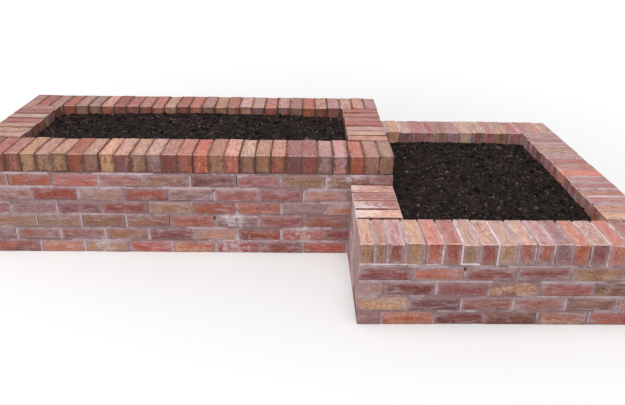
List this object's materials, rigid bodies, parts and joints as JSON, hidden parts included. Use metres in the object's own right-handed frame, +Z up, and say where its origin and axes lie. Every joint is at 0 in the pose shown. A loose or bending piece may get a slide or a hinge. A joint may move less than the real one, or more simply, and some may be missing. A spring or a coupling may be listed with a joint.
{
  "type": "brick raised bed",
  "caption": "Raised planting bed of brick in two joined parts, a long tall bed and a lower one that comes forward, with brick-on-edge coping and soil.",
  "frame": {"origin": "on the ground, under the middle of the whole bed's bounding box", "axes": "+X along the front to the viewer's right, +Y from the front to the back, +Z up"},
  "size_m": [3.2526, 1.5276, 0.5525],
  "materials": {
    "wall_brick": "rough fired clay with cement mortar",
    "coping_brick": "rough fired clay with cement mortar",
    "soil": "matt crumbly earth"
  },
  "bodies": {
    "root": {"tall_front_outer": "wall_brick", "tall_front_inner": "wall_brick", "tall_left_outer": "wall_brick", "tall_left_inner": "wall_brick", "tall_right_outer": "wall_brick", "tall_right_inner": "wall_brick", "tall_back_outer": "wall_brick", "tall_back_inner": "wall_brick", "low_front_outer": "wall_brick", "low_front_inner": "wall_brick", "low_left_outer": "wall_brick", "low_left_inner": "wall_brick", "low_right_outer": "wall_brick", "low_right_inner": "wall_brick", "low_back_outer": "wall_brick", "low_back_inner": "wall_brick", "tall_front_coping": "coping_brick", "tall_left_coping": "coping_brick", "tall_right_coping": "coping_brick", "tall_back_coping": "coping_brick", "low_front_coping": "coping_brick", "low_left_coping": "coping_brick", "low_right_coping": "coping_brick", "low_back_coping": "coping_brick", "tall_soil": "soil", "low_soil": "soil"}
  },
  "joints": []
}
